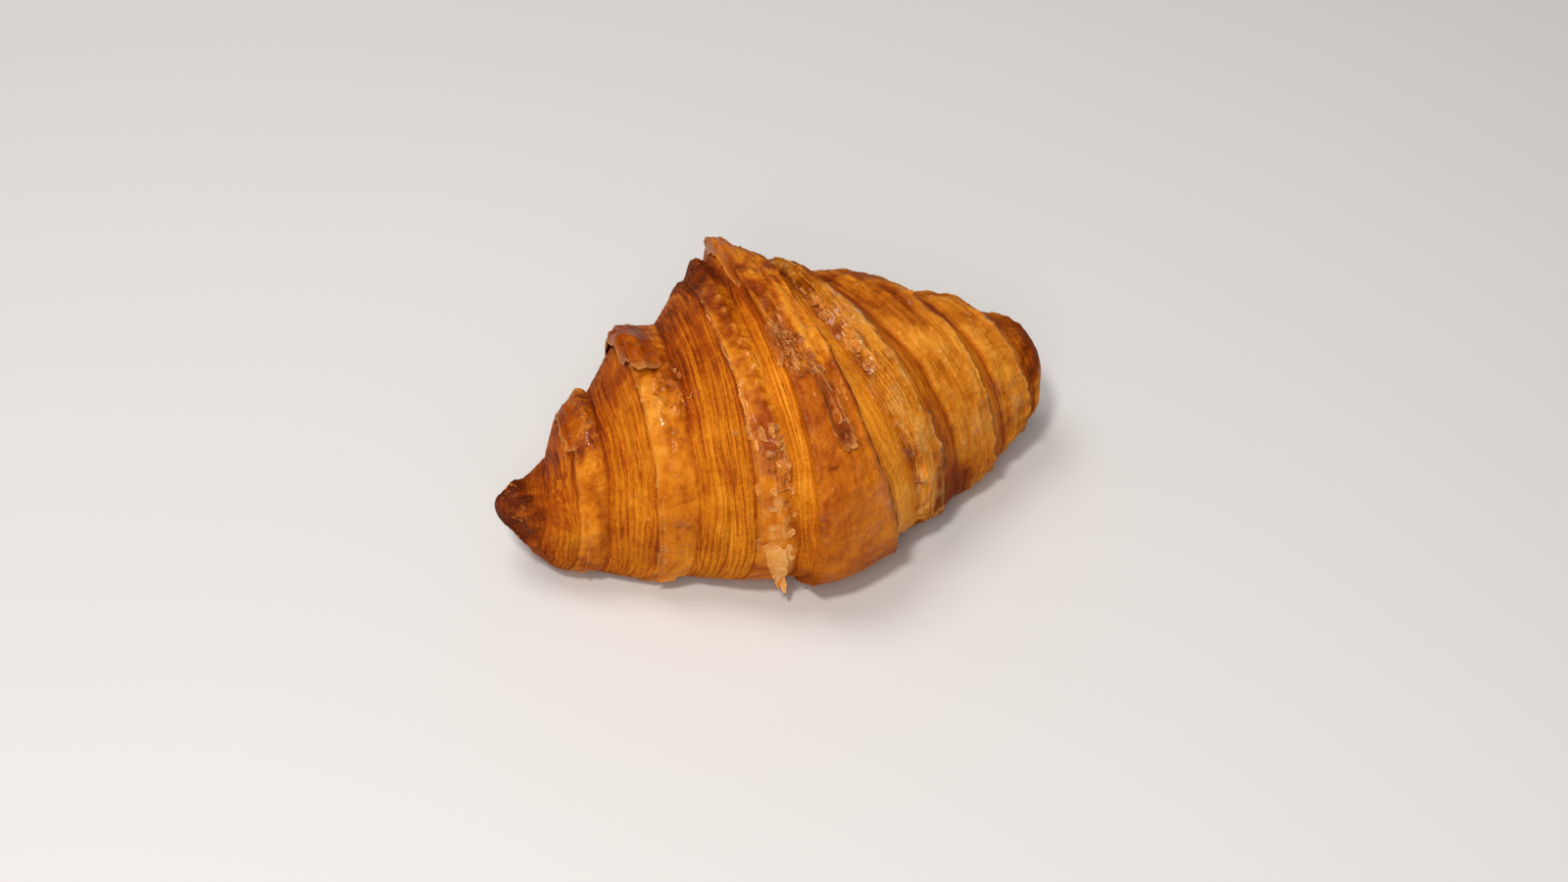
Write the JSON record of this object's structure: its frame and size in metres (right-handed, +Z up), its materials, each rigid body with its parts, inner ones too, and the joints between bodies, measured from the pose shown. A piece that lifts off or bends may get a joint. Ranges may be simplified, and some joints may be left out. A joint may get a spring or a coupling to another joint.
{
  "type": "croissant",
  "caption": "Whole baked croissant, a roll of laminated dough with stepped spiral turns and two raised tips, resting on its flat underside.",
  "frame": {"origin": "centre of the flat underside, under the middle of the roll", "axes": "+X along the roll from its slim tip to its blunt tip, +Y to the back, +Z up"},
  "size_m": [0.1596, 0.1088, 0.0677],
  "materials": {
    "crust": "baked golden-brown egg-washed crust, stands in for pastry"
  },
  "bodies": {
    "root": {"croissant": "crust"}
  },
  "joints": []
}
